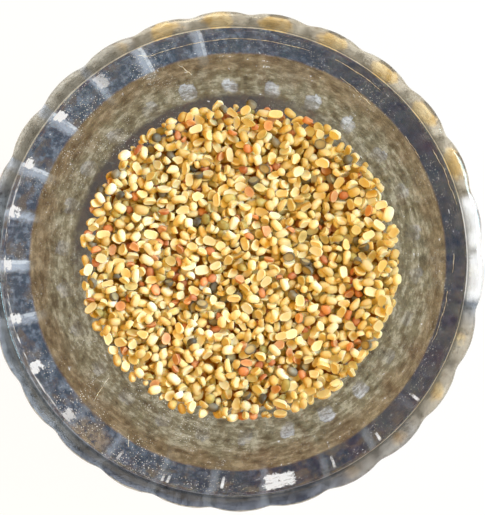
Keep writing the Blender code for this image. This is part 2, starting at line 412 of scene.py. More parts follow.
def bowl_profile():
    """Each ring's radius, its height and its wall, which is 0 inside, 1 outside and between on the rim."""
    rows = [(FLOOR_RADIUS * share, FLOOR_HEIGHT, 0.0) for share in FLOOR_RINGS]
    for step in range(WALL_RINGS + 1):
        z = FLOOR_HEIGHT + (step / WALL_RINGS) ** RING_CROWDING * (BEAD_START - FLOOR_HEIGHT)
        rows.append((float(inner_radius(z)), z, 0.0))
    for step in range(1, BEAD_RINGS + 1):
        z = BEAD_START + step / BEAD_RINGS * (SHOULDER - BEAD_START)
        inward = BEAD * float(smooth((z - BEAD_START) / BEAD_RISE))
        rows.append((float(inner_radius(z)) - inward, z, 0.0))
    middle = (RIM_INNER_RADIUS - BEAD + RIM_OUTER_RADIUS) / 2
    half_width = (RIM_OUTER_RADIUS - RIM_INNER_RADIUS + BEAD) / 2
    for step in range(1, RIM_RINGS):
        turn = math.pi * (1.0 - step / RIM_RINGS)
        squareness = INNER_CORNER if turn > math.pi / 2 else OUTER_CORNER
        across = math.copysign(abs(math.cos(turn)) ** squareness, math.cos(turn))
        z = SHOULDER + RIM_ROUNDING * math.sin(turn) ** squareness - RIM_SLOPE * (1.0 + across) / 2
        rows.append((middle + half_width * across, z, (1.0 + across) / 2))
    for step in range(WALL_RINGS, -1, -1):
        z = FOOT_HEIGHT + (step / WALL_RINGS) ** RING_CROWDING * (SHOULDER - FOOT_HEIGHT)
        rows.append((float(outer_radius(z)), z, 1.0))
    recess = FOOT_RADIUS - FOOT_RING_WIDTH
    foot = (
        (FOOT_RADIUS, FOOT_CHAMFER * 1.6), (FOOT_RADIUS - FOOT_CHAMFER * 0.3, FOOT_CHAMFER * 0.35),
        (FOOT_RADIUS - FOOT_CHAMFER, 0.0), (recess, 0.0), (recess - FOOT_CHAMFER * 0.4, RECESS_DEPTH * 0.6),
        (recess - FOOT_CHAMFER, RECESS_DEPTH), (recess * 0.5, RECESS_DEPTH),
    )
    rows += [(radius, z, 1.0) for radius, z in foot]
    return np.array(rows)


profile = bowl_profile()
print("rings", len(profile))

# %% [markdown]
# ## Flutes and waviness
# A rib is a broad arc between two narrow valleys, which a sum of a few cosines draws well. The flutes run out
# in rounded ends above the foot and grow shallow towards the rim. A slow waviness of a few hundredths of a
# millimetre takes away the machined look, as a mould's does.

# %% Flutes and waviness
ROUNDED_END = 0.55  # how much higher a valley starts than the middle of a rib
RIB_WAVES = (0.333, 0.81, -0.203, 0.09)  # strengths of the cosines, the first of them constant
MOULD_WAVINESS = 0.05 * MM
INSIDE_SHARE = 0.25  # of the waviness, because the plunger is smoother than the mould


def flute_push(z, angle):
    """How far the outer wall stands out at a height and an angle."""
    phase = LOBES * (angle - LOBE_PHASE)
    wave = sum(height * np.cos(order * phase) for order, height in enumerate(RIB_WAVES))
    share = (z - FOOT_HEIGHT) / (BOWL_HEIGHT - FOOT_HEIGHT)
    run_out = (share - FLUTE_START) / (FLUTE_FULL - FLUTE_START)
    rise = smooth(run_out * (1.0 + ROUNDED_END) - ROUNDED_END * (1.0 - np.cos(phase)) / 2.0)
    fall = np.clip((share - FLUTE_FULL) / (1.0 - FLUTE_FULL), 0.0, 1.0)
    return rise * (WALL_FLUTE + (RIM_FLUTE - WALL_FLUTE) * fall) * wave


def waviness(z, angle, scale):
    """The mould's slow unevenness, as a sum of a few waves round and up the wall."""
    waves = np.sin(3.0 * angle + 60.0 * z) + np.sin(7.0 * angle - 140.0 * z + 1.0)
    waves += np.sin(19.0 * angle + 420.0 * z + 2.0) + 0.6 * np.sin(41.0 * angle - 900.0 * z)
    return scale * waves / 2.0


rib_push = float(flute_push(BOWL_HEIGHT / 2, LOBE_PHASE))
print("at half height a rib stands out by", round(rib_push / MM, 2), "mm")

# %% [markdown]
# ## The bowl's mesh
# The profile is turned by hand in numpy, and not with a Screw modifier, because each ring has its own flutes.
# 16 steps a lobe draw the ribs finely enough for the glass to bend light smoothly.

# %% Bowl mesh
STEPS_PER_LOBE = 16
BOWL_CRISP_ANGLE = math.radians(38.0)  # edges sharper than this stay crisp


def mesh_from(name, points, faces):
    mesh = bpy.data.meshes.new(name)
    mesh.from_pydata(np.asarray(points).tolist(), [], faces)
    mesh.validate()
    return mesh


def turned_faces(rings, steps):
    """Quads between neighbouring rings, then a fan to the first and the last point."""
    first, last = rings * steps, rings * steps + 1
    faces = []
    for here in range(0, first - steps, steps):
        for step in range(steps):
            across, above = (step + 1) % steps, here + steps
            faces.append((here + step, above + step, above + across, here + across))
    for step in range(steps):
        across = (step + 1) % steps
        faces.append((first, step, across))
        faces.append((last, first - steps + across, first - steps + step))
    return faces


def point_mask(mesh, name, values):
    """Stores one number for each point, which a material reads with an Attribute node."""
    layer = mesh.attributes.new(name, "FLOAT", "POINT")
    layer.data.foreach_set("value", np.asarray(values, np.float32))


steps = LOBES * STEPS_PER_LOBE
angles = np.linspace(0.0, 2.0 * math.pi, steps, endpoint=False)[None, :]
radii, heights, outness = (profile[:, column][:, None] for column in range(3))
fluted = outness**2 * flute_push(heights, angles)
on_wall = (heights > FOOT_HEIGHT) & (radii > FLOOR_RADIUS)
wavy = np.where(outness > 0.5, 1.0, INSIDE_SHARE) * waviness(heights, angles, MOULD_WAVINESS)
reach = radii + np.where(on_wall, fluted + wavy, 0.0)
bowl_points = np.stack([reach * np.cos(angles), reach * np.sin(angles), heights + 0.0 * angles], axis=-1)
bowl_points = bowl_points.reshape(-1, 3).tolist()
bowl_points += [(0.0, 0.0, FLOOR_HEIGHT), (0.0, 0.0, RECESS_DEPTH)]
bowl_mesh = mesh_from("fluted_bowl", bowl_points, turned_faces(len(profile), steps))
bowl_mesh.shade_smooth()
bowl_mesh.set_sharp_from_angle(angle=BOWL_CRISP_ANGLE)
fluted_bowl = add_object("fluted_bowl", bowl_mesh)
print("bowl faces", len(bowl_mesh.polygons))

# %% [markdown]
# ## Inside and outside
# The two walls get different finishes, so each point is told where it belongs: 0 on the smooth inside, 1 on
# the fluted outside, and a share between them over the rim. A material reads such a number with an Attribute
# node. A number for each point is simpler here than two materials, because it runs softly over the rim.

# %% Inside and outside
point_mask(bowl_mesh, "wall_side", np.append((outness + 0.0 * angles).reshape(-1), [0.0, 1.0]))
print("inner points", int((outness < 0.5).sum()) * steps, "of", len(bowl_mesh.vertices))

# %% [markdown]
# ## Fine dust
# Split pulses shed a pale flour, which clings to the glass. It makes a mask of small specks, thicker in some
# places than in others, each with a brightness of its own. The cells of a Voronoi texture give the specks.
# As a node group the mask can be used on any other thing that gathers flour.

# %% Dust group
dust, dust_in, dust_out = new_group("pulse_dust", [
    ("Vector", "NodeSocketVector", None), ("Specks", "NodeSocketFloat", 1800.0),
    ("Amount", "NodeSocketFloat", 0.5),
], [("Mask", "NodeSocketFloat")])
specks = add_node(dust, "ShaderNodeTexVoronoi", Vector=dust_in["Vector"], Scale=dust_in["Specks"])
cloud = noise_at(dust, dust_in["Vector"], 90.0, 3.0)
speck_size = calc(dust, "MULTIPLY", between(dust, cloud, 0.36, 0.60), dust_in["Amount"])
speck = calc(dust, "SUBTRACT", speck_size, specks.outputs["Distance"])
speck_chance = calc(dust, "MULTIPLY_ADD", specks.outputs["Color"], 2.2, -0.30)
set_sockets(dust, dust_out, Mask=calc(dust, "MULTIPLY", between(dust, speck, 0.0, 0.06), speck_chance))
print("dust nodes", len(dust.nodes))

# %% [markdown]
# ## Where a point lies on the glass
# Seen from above, a thick pressed bowl isn't evenly clear, and here its shade and reflections are painted into
# the glass: painted brown shade on the low wall, a painted dark slate reflection in the band under the rim,
# painted pale blue light in the valleys between the ribs, and a painted honey glow in the thick rim. All this
# follows the bowl's own form. So the glass first works out its height in millimetres, its turn round the bowl,
# and where it lies across a rib. Three random numbers for each rib keep the ribs from looking alike.

# %% Shorthands for the glass
glass, glass_tree, glass_shader = new_material("clear_pressed_glass")


def chain(operation, first, *others):
    """One operation from value to value, such as a product of several."""
    for other in others:
        first = calc(glass_tree, operation, first, other)
    return first


def times(*values):
    return chain("MULTIPLY", *values)


def plus(*values):
    return chain("ADD", *values)


def larger(*values):
    return chain("MAXIMUM", *values)


def minus(first, second):
    return chain("SUBTRACT", first, second)


def power(value, exponent):
    return chain("POWER", value, exponent)


def cosine(value):
    return calc(glass_tree, "COSINE", value)


def times_plus(first, second, third):
    """The first times the second, plus the third."""
    return calc(glass_tree, "MULTIPLY_ADD", first, second, third)


def sway(value, pattern, strength):
    """Moves a value up and down with a pattern that runs from 0 to 1."""
    return times_plus(minus(pattern, 0.5), strength, value)


def soft_step(value, low, high):
    return between(glass_tree, value, low, high)


def strip(value, low, low_full, high_full, high):
    """1 from low_full to high_full, and from there softly down to 0 at low and at high."""
    return times(soft_step(value, low, low_full), soft_step(value, high, high_full))


def dye(share, first, second):
    """Mixes two colours of the glass."""
    return blend(glass_tree, share, first, second)


print("material", glass.name)

# %% Place on the glass
glass_place = object_place(glass_tree)
glass_axes = add_node(glass_tree, "ShaderNodeSeparateXYZ", Vector=glass_place).outputs
wall_side = point_value(glass_tree, "wall_side")
level = times(glass_axes["Z"], 1.0 / MM)
turn_angle = calc(glass_tree, "ARCTAN2", glass_axes["Y"], glass_axes["X"])
rib_phase = times(minus(turn_angle, LOBE_PHASE), float(LOBES))
rib = cosine(rib_phase)
rib_number = calc(glass_tree, "FLOOR", calc(glass_tree, "DIVIDE", rib_phase, 2.0 * math.pi))
rib_number = calc(glass_tree, "FLOORED_MODULO", rib_number, float(LOBES))
chance = glass_tree.nodes.new("ShaderNodeTexWhiteNoise")
chance.noise_dimensions = "1D"
rib_chance = set_sockets(glass_tree, chance, W=rib_number).outputs["Value"]
rib_second = calc(glass_tree, "FRACT", times(rib_chance, 17.0))
rib_third = calc(glass_tree, "FRACT", times(rib_chance, 71.0))


def around(degrees, edge, full):
    """A mask for the side of the bowl at an angle. Edge and full are cosines of the turn away from it."""
    return soft_step(cosine(minus(turn_angle, math.radians(degrees))), edge, full)


print("a rib spans", round(360.0 / LOBES, 2), "degrees")

# %% [markdown]
# ## Mottling
# Nothing in pressed glass is even. Long streaks run round the wall, where the glass flowed as the plunger
# came down, and small cloudy patches lie over them. The streaks are a noise that is squeezed in height, made
# in three dimensions so that it has no seam at the back. A second noise is stretched upright, for the band.

# %% Streaks and patches
ALONG = 0.28  # the streaks' scale along the wall
UPRIGHT = 0.3  # the threads' scale in height


def stretched(*scales):
    """The place on the glass, scaled along each axis. A noise there is long where the scale is small."""
    made = add_node(glass_tree, "ShaderNodeVectorMath", Vector=glass_place)
    made.operation = "MULTIPLY"
    made.inputs[1].default_value = scales
    return made.outputs[0]


# these noises give the glass its relief and also break up its painted shade and reflections
streaks = noise_at(glass_tree, stretched(ALONG, ALONG, 1.0), 640.0, 5.0, 0.68)
threads = noise_at(glass_tree, stretched(1.0, 1.0, UPRIGHT), 620.0, 5.0, 0.7)
patches = noise_at(glass_tree, glass_place, 150.0, 3.0, 0.55)
mottle = noise_at(glass_tree, glass_place, 260.0, 6.0, 0.74)
cloudy = times_plus(streaks, 0.42, times(mottle, 0.58))
glass_dust = place_group(glass_tree, dust, Vector=glass_place, Specks=1350.0, Amount=0.27)
print("nodes up to the mottling", len(glass_tree.nodes))

# %% [markdown]
# ## Painted shade on the low wall
# The low wall gets painted shade that stands for the shaded floor seen through it: brown in its upper half and
# an olive grey in its lower half, which run into each other in patches. Where the ribs end above the foot,
# each gets a painted highlight, a pale rounded block, strongest at the top of the picture. Close to the heap
# the wall gets darker painted shade.

# %% Low wall
OLIVE_TOP = 33.5  # mm, where the olive grey starts to turn brown
BROWN_FULL = 40.5  # mm
SHADE_TOP = 30.0  # mm, the upper end of the painted shade next to the heap
SHADE_FULL = 27.4  # mm
BLOCK_LEVEL = 31.3  # mm, the middle of a rib's rounded end
BLOCK_HALF = 3.1  # mm
BLOCK_WIDTH = 0.33  # as the square of the sine of half its turn
# painted shade: brown and olive grey stand for the shaded floor seen through the wall
brown = ramp(glass_tree, cloudy, [(0.41, 30, 19, 8), (0.50, 63, 46, 25), (0.60, 106, 84, 54)])
olive_grey = ramp(glass_tree, cloudy, [(0.41, 28, 21, 10), (0.50, 67, 58, 36), (0.60, 130, 120, 90)])
brown_share = soft_step(sway(level, patches, 14.0), OLIVE_TOP, BROWN_FULL)
painted_low_wall = dye(brown_share, olive_grey, brown)
block_level = sway(BLOCK_LEVEL, rib_second, 1.6)
block_up = times(minus(level, block_level), 1.0 / BLOCK_HALF)
block_across = times_plus(rib, -0.5 / BLOCK_WIDTH, 0.5 / BLOCK_WIDTH)
block_shape = plus(power(calc(glass_tree, "ABSOLUTE", block_up), 3.0), power(block_across, 1.6))
block_shape = sway(times_plus(rib_third, 0.5, block_shape), mottle, 4.0)
block_side = larger(around(76.0, 0.72, 0.96), around(296.0, 0.90, 0.98))
block_strength = times(times_plus(rib_second, 0.6, 0.3), times_plus(block_side, 0.88, 0.12))
# painted highlights on the rounded ends of the ribs
block_highlight_tone = times_plus(block_up, 0.18, times_plus(cloudy, 2.0, -0.43))
block_highlight_color = ramp(glass_tree, block_highlight_tone, [
    (0.30, 52, 48, 42), (0.50, 108, 108, 104), (0.80, 226, 238, 252),
])
block = soft_step(block_shape, 1.35, 0.65)
painted_low_wall = dye(times(block, block_strength), painted_low_wall, block_highlight_color)
# painted shade on the wall next to the heap
heap_shade = times(soft_step(level, SHADE_TOP, SHADE_FULL), around(122.0, 0.15, 0.80))
painted_low_wall = dye(heap_shade, painted_low_wall, shade(26, 22, 20))
print("blocks from", BLOCK_LEVEL - BLOCK_HALF, "to", BLOCK_LEVEL + BLOCK_HALF, "mm")

# %% [markdown]
# ## The slate band
# Above the low wall the glass is thicker and bends the light off to the side, so a dark band under the rim
# is painted as the reflection of a dark room. It is nearly black on the right and a deep blue on the left,
# with upright paler threads, brown patches on the cool side and one tea-coloured patch at the lower left.

# %% Slate band
BAND_LEVEL = 44.6  # mm
BAND_BLUR = 0.7  # mm
COOL_TURN = 165.0  # degrees, the middle of the blue side
TEA_TURN = 231.0  # degrees
# painted reflection of a dark room: the slate band under the rim, with its paler threads and patches
blueness = around(COOL_TURN, -0.6, 0.8)
painted_slate = dye(blueness, shade(2, 6, 18), shade(8, 20, 36))
slate_light = dye(blueness, shade(14, 18, 32), shade(56, 72, 94))
slate_tone = times_plus(threads, 0.5, times(mottle, 0.5))
painted_slate = dye(soft_step(slate_tone, 0.46, 0.62), painted_slate, slate_light)
warm_patch = times(soft_step(patches, 0.50, 0.66), around(215.0, -0.75, 0.6), 0.65)
painted_slate = dye(warm_patch, painted_slate, shade(46, 40, 32))
tea_patch = times(around(TEA_TURN, 0.9945, 0.9990), soft_step(level, 46.5, 50.5))
tea_patch = times(tea_patch, soft_step(slate_tone, 0.42, 0.56), 0.6)
painted_slate = dye(tea_patch, painted_slate, shade(104, 84, 50))
band = soft_step(sway(level, mottle, 1.6), BAND_LEVEL - BAND_BLUR, BAND_LEVEL + BAND_BLUR)
wall_painted_light_and_dust = dye(band, painted_low_wall, painted_slate)
print("band from", BAND_LEVEL, "mm up")

# %% [markdown]
# ## Light in the valleys
# A valley between two ribs is a narrow lens. On the left it gets a painted steel blue streak of window light,
# with a painted highlight as a brighter thread beside it. The streaks reach down to different heights and
# differ in width and strength, which is what the random numbers of each rib are for.

# %% Valley streaks
THREAD_LEAN = 0.45  # how far from its streak a painted highlight thread lies, in the turn of a rib's wave
# painted window light: steel blue streaks and highlight threads in the valleys
streak_side = larger(times(around(150.0, 0.40, 0.85), 0.95), times(around(262.0, 0.3, 0.9), 0.22))
streak_turn = sway(plus(rib_phase, math.pi), rib_third, 1.3)
streak_middle = power(times_plus(cosine(streak_turn), 0.5, 0.5), 6.0)
streak_shape = sway(sway(streak_middle, threads, 1.7), rib_second, 0.5)
valley_light_streak = times(soft_step(streak_shape, 0.22, 1.25), streak_side, times_plus(rib_third, 0.45, 0.62))
thread_turn = cosine(plus(streak_turn, THREAD_LEAN))
thread_highlight = times(soft_step(thread_turn, 0.955, 0.995), streak_side, soft_step(rib_second, 0.35, 0.70))
valley_light_streak = times(larger(valley_light_streak, times(thread_highlight, 0.8)), power(streak_middle, 0.6))
valley_light_streak = times(valley_light_streak, soft_step(times_plus(rib_chance, 4.0, level), 42.0, 49.5))
valley_light_color = dye(band, shade(122, 116, 98), shade(136, 158, 188))
wall_painted_light_and_dust = dye(valley_light_streak, wall_painted_light_and_dust, valley_light_color)
thread_share = times(thread_highlight, band, soft_step(threads, 0.38, 0.56), 0.8)
wall_painted_light_and_dust = dye(thread_share, wall_painted_light_and_dust, shade(206, 224, 244))
print("nodes up to the streaks", len(glass_tree.nodes))

# %% [markdown]
# ## Painted highlights in the band
# Four kinds of painted highlight lie in the band. Clear spots sit near the rim on the left, one to a valley.
# At the bottom of the picture the window's reflection is painted as one pale pane, torn by the waviness of the
# glass, and short upright glints stand on both sides of it, some of them in pairs. A thin bright ledge marks
# the start of the rim on the left. They are masks made from the height, the turn and a rib's own numbers.

# %% Painted highlights
SPOT_LEAN = 0.5  # how far from the middle of a valley a painted highlight spot lies, in the turn of a rib's wave
GLINT_LEAN = -1.1  # the same for a glint
TWIN_LEAN = 0.62  # and for a glint's twin, from the glint on
PANE_TURN = 282.3  # degrees
# painted highlights: spots, glints and a ledge, and the window's painted reflection as a pane
rough_edge = times_plus(threads, 2.4, times_plus(streaks, 2.0, -2.25))
spot_turn = cosine(sway(plus(rib_phase, math.pi + SPOT_LEAN), rib_third, 0.7))
spot_level = times_plus(rib_second, -3.5, plus(level, 1.0))
spot_highlight = times(strip(spot_level, 48.5, 51.5, 55.5, 59.0), soft_step(spot_turn, 0.55, 0.99))
spot_highlight = times(soft_step(plus(spot_highlight, rough_edge), 0.48, 0.85), around(176.0, 0.55, 0.80))
pane_reflection = times(around(PANE_TURN, 0.9962, 0.9985), strip(level, 45.6, 49.4, 54.0, 57.6))
pane_reflection = soft_step(plus(pane_reflection, rough_edge), 0.44, 0.80)
pane_reflection = times(pane_reflection, times_plus(soft_step(streaks, 0.42, 0.50), 0.6, 0.4))
glint_turn = sway(plus(rib_phase, math.pi + GLINT_LEAN), rib_third, 1.4)
twin = soft_step(cosine(plus(glint_turn, TWIN_LEAN)), 0.975, 0.999)
twin = times(twin, soft_step(rib_chance, 0.40, 0.75))
glint = larger(soft_step(cosine(glint_turn), 0.968, 0.999), twin)
glint_level = times_plus(rib_chance, -4.0, plus(level, 2.2))
glint = times(glint, strip(glint_level, 48.5, 53.5, 54.5, 57.5), times_plus(rib_second, 0.5, 0.6))
glint = times(soft_step(times_plus(rough_edge, 0.5, glint), 0.15, 0.95), around(284.0, 0.64, 0.80))
ledge_highlight = times(strip(level, 55.0, 55.5, 55.9, 56.3), around(190.0, 0.80, 0.97))
ledge_highlight = times(ledge_highlight, soft_step(streaks, 0.47, 0.60))
wall_painted_light_and_dust = dye(larger(spot_highlight, pane_reflection, glint, ledge_highlight), wall_painted_light_and_dust, shade(250, 252, 255))
print("pane at", PANE_TURN, "degrees")

# %% [markdown]
# ## The rim
# The rim is a solid ring of glass, which gathers light from below, and that light is painted into its colours.
# On its warm side each rib shows a painted honey glow between greyer valleys, with painted shade at the lower
# right and thin painted dark crescents on its outer edge at the upper right, and at the far right a painted
# plain white reflection. On the cool side it carries on the painted slate of the band, with a thin painted tan
# outline.

# %% Rim colours
RIM_LEVEL = 60.6  # mm
RIM_BLUR = 0.25  # mm


def two_tone(dark, pale):
    """A painted light colour of the rim that runs from dark to pale with the clouds in the glass."""
    return ramp(glass_tree, cloudy, [(0.42, *dark), (0.59, *pale)])


on_rim = soft_step(level, RIM_LEVEL - RIM_BLUR, RIM_LEVEL + RIM_BLUR)
rim_across = times_plus(wall_side, 2.0, -0.85)
honey_share = times_plus(times(rim_across, rim_across), -0.9, rib)
honey_share = sway(sway(honey_share, patches, 2.6), mottle, 2.0)
honey_share = times_plus(around(322.0, 0.80, 0.92), -0.9, honey_share)
# painted light: honey and tan patches stand for the floor seen through the rim
honey = two_tone((196, 140, 58), (250, 208, 128))
tan = two_tone((120, 106, 80), (190, 176, 146))
warm_rim = dye(soft_step(honey_share, -0.50, 0.25), tan, honey)
steel = two_tone((34, 40, 50), (99, 111, 125))
stone = two_tone((96, 88, 70), (172, 164, 142))
deep = two_tone((12, 15, 24), (58, 64, 78))
cool_rim = dye(around(136.0, 0.87, 0.97), steel, stone)
cool_rim = dye(around(268.0, 0.66, 0.88), cool_rim, deep)
# the painted window light of the valleys carries over the rim
cool_rim = dye(times(valley_light_streak, 0.8), cool_rim, shade(166, 184, 208))
warm_side = larger(around(62.0, 0.53, 0.64), around(332.0, 0.95, 0.99), times(around(320.0, 0.91, 0.98), 0.4))
rim_painted_light = dye(warm_side, cool_rim, warm_rim)
# painted shade over the lower right of the rim
shaded_side = times(around(320.0, 0.84, 0.96), times_plus(rib, -0.15, 0.45))
rim_painted_light = dye(shaded_side, rim_painted_light, shade(64, 58, 50))
# painted highlight: the window's white reflection at the far right
rim_painted_light = dye(around(3.0, 0.974, 0.984), rim_painted_light, shade(250, 253, 255))
rim_edge = sway(wall_side, mottle, 0.3)
# painted shade: thin dark crescents on the outer edge
painted_dark_edge = times(soft_step(rim_edge, 0.73, 0.81), soft_step(rib, 0.25, 0.75), around(48.0, 0.62, 0.86), 0.9)
rim_painted_light = dye(painted_dark_edge, rim_painted_light, shade(44, 42, 38))
# painted reflection: a thin tan outline on the cool side
tan_edge = times(soft_step(rim_edge, 0.87, 0.93), around(218.0, 0.10, 0.35), 0.75)
rim_painted_light = dye(tan_edge, rim_painted_light, shade(170, 152, 118))
wall_painted_light_and_dust = dye(on_rim, wall_painted_light_and_dust, rim_painted_light)
print("rim from", RIM_LEVEL, "mm up")

# %% [markdown]
# ## Flour on the glass
# The flour clings to the inside of the bowl, most of all at the lower left and a little at the upper left.
# The rim and the outside are left clean, as hands wipe them. Where it lies the glass is a little rougher.

# %% Flour on the glass
off_rim = minus(1.0, on_rim)
dusty_side = larger(around(236.0, 0.84, 0.97), times(around(132.0, 0.88, 0.99), 0.7))
dust_share = times(glass_dust["Mask"], times_plus(dusty_side, 0.85, 0.22), off_rim, minus(1.0, wall_side))
dust_share = times(dust_share, times_plus(soft_step(level, 38.0, 45.0), 0.55, 0.45))
wall_painted_light_and_dust = dye(dust_share, wall_painted_light_and_dust, shade(222, 214, 198))
print("nodes up to the flour", len(glass_tree.nodes))

# %% [markdown]
# ## The glass itself
# Clear glass is the Principled shader with full transmission. Its painted shade and reflections are shown in
# full the more slantwise it is looked through, as from above, so that it looks darker there. A Layer Weight
# node gives that: straight on, the wall keeps a faint share of its painted colours, and at a slant it has them
# in full. The colours lie in the inner surface and the rim, and only where light enters there: the outside is
# clear, and so is the inner surface for light that leaves the wall through it, which is what Backfacing tells.
# So the colours are met once only, and from the side the bowl is as clear as it is in life.

# %% Glass material
PALE_SHARE = 0.30  # how much of its painted colours the wall keeps when it is looked at straight
GLASS_INDEX = 1.42
slant = add_node(glass_tree, "ShaderNodeLayerWeight", Blend=0.5).outputs["Facing"]
slant_share = times_plus(soft_step(slant, 0.05, 0.20), 1.0 - PALE_SHARE, PALE_SHARE)
seen_color = dye(larger(slant_share, on_rim), shade(236, 238, 236), wall_painted_light_and_dust)
from_within = add_node(glass_tree, "ShaderNodeNewGeometry").outputs["Backfacing"]
glass_color = dye(larger(times(wall_side, off_rim), from_within), seen_color, shade(248, 249, 248))
mould_rings = add_node(glass_tree, "ShaderNodeBump", Strength=0.12, Distance=0.0004, Height=streaks)
set_sockets(
    glass_tree, glass_shader, Base_Color=glass_color, Roughness=times_plus(dust_share, 0.25, 0.02),
    Normal=mould_rings.outputs["Normal"], Transmission_Weight=1.0, IOR=GLASS_INDEX,
)
print("index", GLASS_INDEX)

# %% [markdown]
# ## Light on its way through the wall
# Two kinds of ray need help. Light on its way to the lentils is let through by a plain tinted film, because
# tracing it through two curved walls would take far too long. And a ray that is caught between the two
# surfaces of the rim would end as a black fleck. On real glass it comes out in the end, pale and warm, so
# after a few bounces it is simply given that pale warm light.

# %% Light through the wall
TRAPPED_DEPTH = 5.5  # bounces
TRAPPED_STRENGTH = 0.54
film = add_node(glass_tree, "ShaderNodeBsdfTransparent", Color=shade(228, 226, 220))
caught = add_node(glass_tree, "ShaderNodeEmission", Color=shade(226, 222, 212), Strength=TRAPPED_STRENGTH)
glass_ray = add_node(glass_tree, "ShaderNodeLightPath").outputs
passing = larger(glass_ray["Is Shadow Ray"], glass_ray["Is Diffuse Ray"])
trapped = calc(glass_tree, "GREATER_THAN", glass_ray["Ray Depth"], TRAPPED_DEPTH)
seen_glass = mix_shaders(glass_tree, passing, glass_shader, film)
show_shader(glass_tree, mix_shaders(glass_tree, trapped, seen_glass, caught))
bowl_mesh.materials.append(glass)
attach(fluted_bowl, "root")
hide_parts("glass_bowl")
print("glass nodes", len(glass_tree.nodes))

# %% [markdown]
# ## Lint
# A few cloth fibres cling to the inside of the bowl. Each one is a thin tube that follows the wall, with
# small bends in it. They are made at their true thickness, about a tenth of a millimetre, and catch the
# window's light. Curves would do as well, but a mesh keeps its thickness wherever it is used.

# %% Lint fibres
FIBRE_RADIUS = 0.06 * MM
FIBRE_GAP = 0.02 * MM
FIBRE_SIDES = 5
FIBRE_STEPS = 60
HOOK_SHARE = 0.08  # the part of a fibre that a hook takes up
FIBRE_PACES = (12.0, 29.0, 67.0)  # of its bends, from broad to fine
# turn in degrees and height in mm at the start and at the end, bends in mm, hook at the end in mm
FIBRES = (
    (14.0, 54.6, 29.0, 54.0, 0.35, 0.0),
    (49.0, 52.4, 63.0, 52.8, 0.12, 0.0),
    (70.0, 51.7, 114.5, 51.2, 0.18, 3.2),
    (49.0, 43.4, 60.0, 46.2, 0.20, 0.0),
    (29.0, 45.6, 36.0, 45.2, 0.15, 0.0),
    (222.0, 31.0, 224.5, 41.0, 0.25, 0.0),
    (238.5, 43.0, 240.5, 47.5, 0.20, 0.0),
    (103.5, 38.0, 106.0, 43.5, 0.30, 0.0),
    (338.0, 46.2, 352.0, 47.0, 0.20, 0.0),
    (357.0, 48.6, 362.0, 49.2, 0.10, 0.0),
)


def fibre_line(start_turn, start_z, end_turn, end_z, bends, hook, draw):
    """Points on the wall's inside, from one end of a fibre to the other."""
    share = np.linspace(0.0, 1.0, FIBRE_STEPS)
    waves = [np.sin(share * pace + draw.uniform(0.0, 6.3)) / pace for pace in FIBRE_PACES]
    wiggle = sum(waves) * FIBRE_PACES[0]
    turn = np.radians(start_turn + (end_turn - start_turn) * share)
    z = (start_z + (end_z - start_z) * share + bends * wiggle) * MM
    z = z + hook * MM * np.clip((share - 1.0 + HOOK_SHARE) / HOOK_SHARE, 0.0, 1.0) ** 2
    reach = inner_radius(z) - FIBRE_RADIUS - FIBRE_GAP - MOULD_WAVINESS
    return np.stack([reach * np.cos(turn), reach * np.sin(turn), z], axis=1)


def tube_rings(line):
    """Rings of points round a line."""
    ahead = np.gradient(line, axis=0)
    ahead /= np.linalg.norm(ahead, axis=1)[:, None]
    side = np.cross(ahead, line * [1.0, 1.0, 0.0])
    side /= np.linalg.norm(side, axis=1)[:, None]
    up = np.cross(side, ahead)
    around_line = np.arange(FIBRE_SIDES) * 2.0 * math.pi / FIBRE_SIDES
    ring = side[:, None] * np.cos(around_line)[None, :, None]
    ring = ring + up[:, None] * np.sin(around_line)[None, :, None]
    return (line[:, None] + FIBRE_RADIUS * ring).reshape(-1, 3)


draw = np.random.default_rng(3)
fibre_points, fibre_faces = [], []
for fibre in FIBRES:
    offset = len(fibre_points) * FIBRE_STEPS * FIBRE_SIDES
    fibre_points.append(tube_rings(fibre_line(*fibre, draw)))
    last_ring = offset + (FIBRE_STEPS - 1) * FIBRE_SIDES
    for ring in range(offset, last_ring, FIBRE_SIDES):
        for side in range(FIBRE_SIDES):
            here, across = ring + side, ring + (side + 1) % FIBRE_SIDES
            fibre_faces.append((here, across, across + FIBRE_SIDES, here + FIBRE_SIDES))
    fibre_faces.append(tuple(reversed(range(offset, offset + FIBRE_SIDES))))
    fibre_faces.append(tuple(range(last_ring, last_ring + FIBRE_SIDES)))
lint_mesh = mesh_from("lint_fibres", np.concatenate(fibre_points), fibre_faces)
lint_fibres = add_object("lint_fibres", lint_mesh)
lint, lint_tree, lint_shader = new_material("lint")
lint_tone = noise_at(lint_tree, object_place(lint_tree), 700.0, 2.0)
lint_color = ramp(lint_tree, lint_tone, [(0.4, 150, 146, 140), (0.6, 236, 234, 228)])
set_sockets(lint_tree, lint_shader, Base_Color=lint_color, Roughness=0.8)
lint_mesh.materials.append(lint)
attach(lint_fibres, "root")
print("fibres", len(FIBRES), "faces", len(lint_mesh.polygons))

# %% [markdown]
# ## The shapes of split grains
# A split pulse is half a bean: an oval dome over a flat cut face with a slightly raised edge. A grain starts
# from an outline whose roundness, chips and unevenness are drawn at random. Rings over it make the dome, and
# rings inside it the cut face. Three masks tell the material where each part is.

# %% Grain form
GRAIN_SIDES = 14
# each ring's share of the outline and of the height, and on the cut face how much it belongs to the edge
CUT_RINGS = ((0.58, 0.055, 0.15), (0.93, 0.00, 1.0))
DOME_RINGS = ((1.00, 0.14), (0.96, 0.46), (0.76, 0.79), (0.40, 0.95))
CUT_MIDDLE = 0.075  # how far the middle of the cut face is sunk, as a share of the height
CHIP_DEPTHS = (0.66, 0.9)  # how far from the middle a chip cuts a grain off
SURFACE_BUMPS = 0.035  # unevenness of the dome, as a share of its height
CROWN_LEAN = 0.05  # how far the crown lies off the middle


